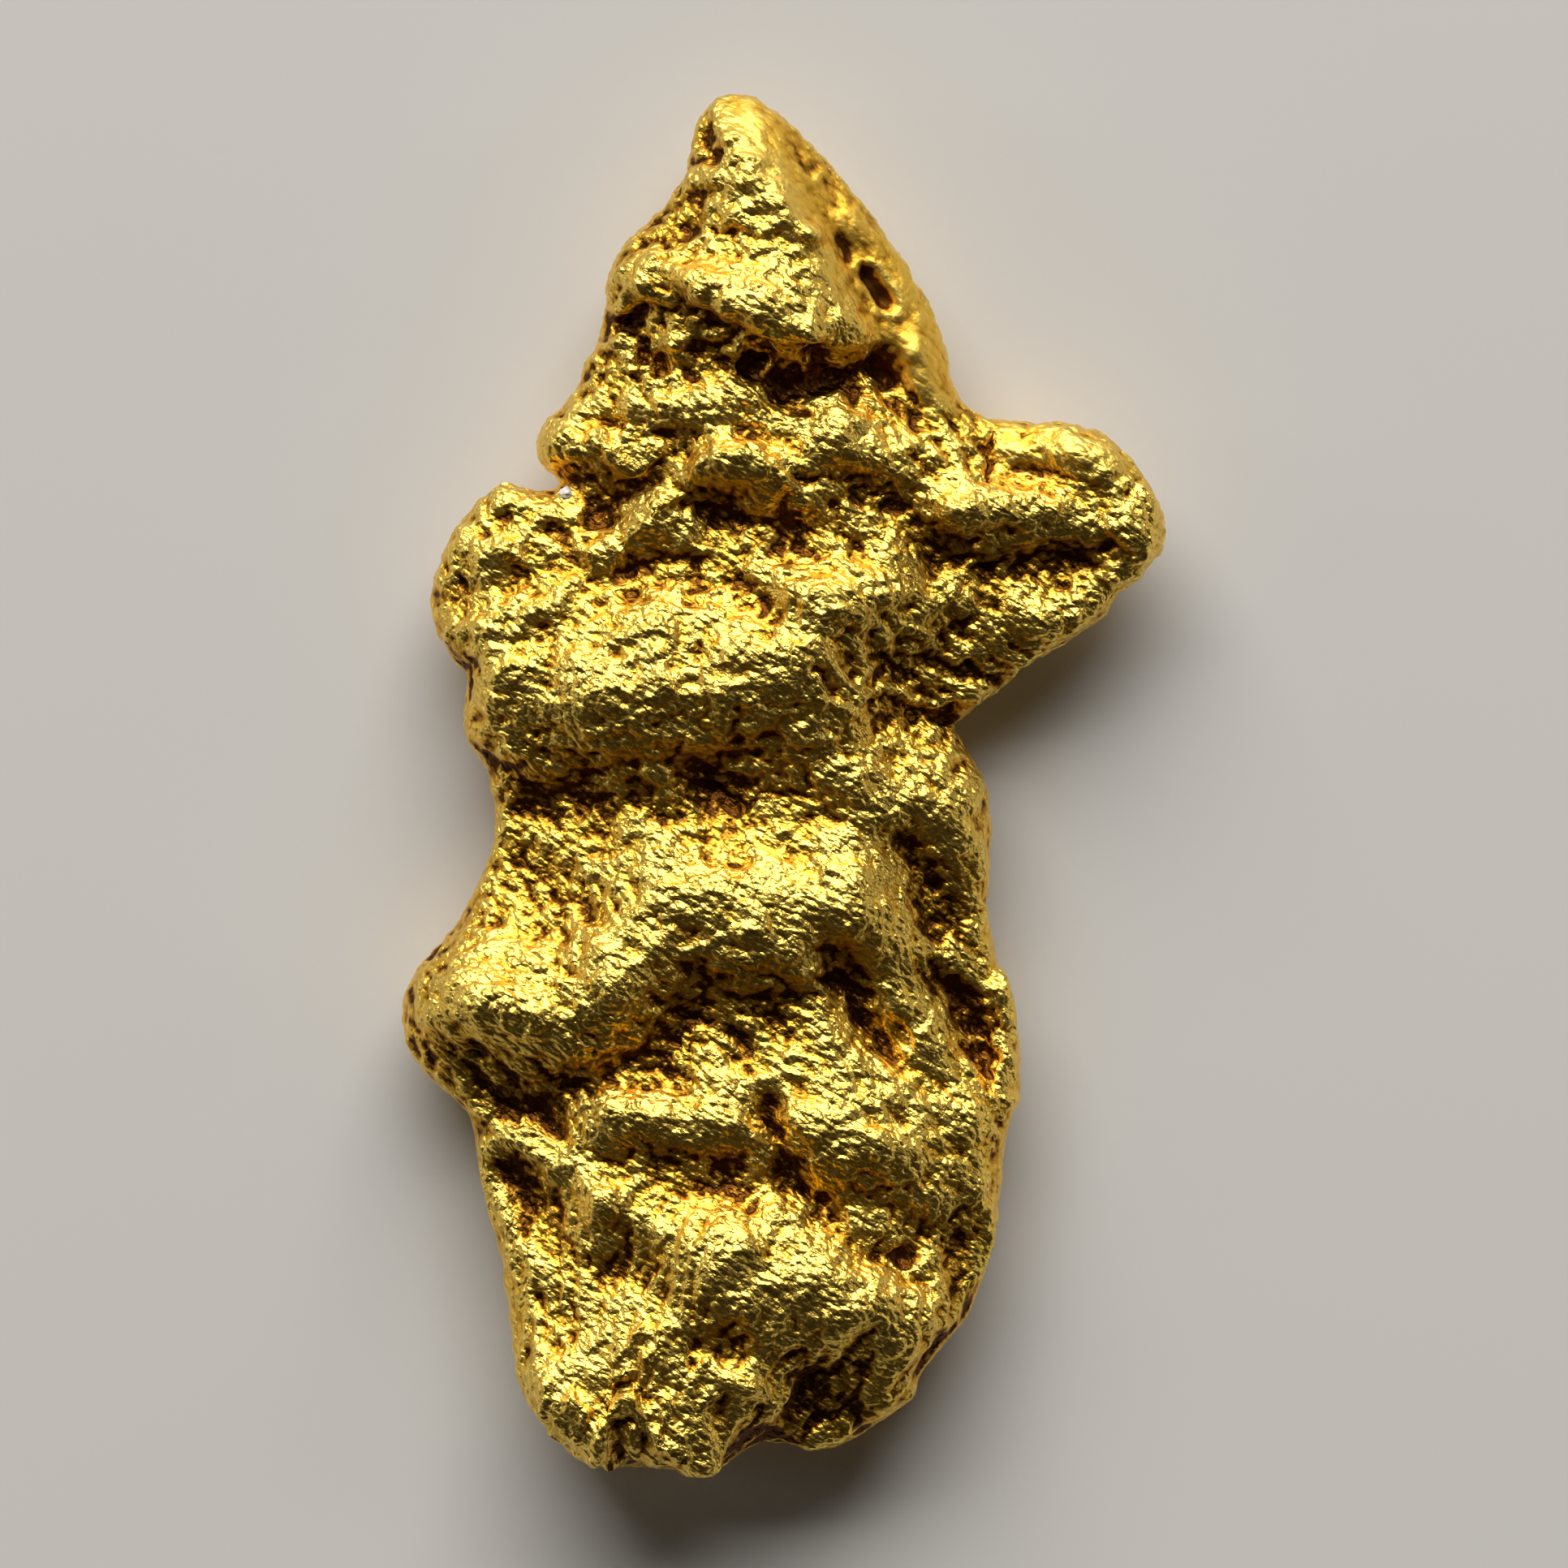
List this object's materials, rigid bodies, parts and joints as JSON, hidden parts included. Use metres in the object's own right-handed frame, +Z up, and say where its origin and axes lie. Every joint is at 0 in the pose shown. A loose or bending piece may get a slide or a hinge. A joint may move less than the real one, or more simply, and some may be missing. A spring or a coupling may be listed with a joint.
{
  "type": "gold nugget",
  "caption": "Flattened, crumpled native gold nugget with a pointed tip, an ear-shaped wing and a folded collar, lying on its worn back.",
  "frame": {"origin": "centre of the plan outline at the level of the surface the nugget rests on", "axes": "+Y towards the pointed tip, +X towards the ear-shaped wing, +Z up out of the front face"},
  "size_m": [0.0186, 0.034, 0.0046],
  "materials": {
    "gold": null
  },
  "bodies": {
    "root": {"gold_nugget": "gold"}
  },
  "joints": []
}
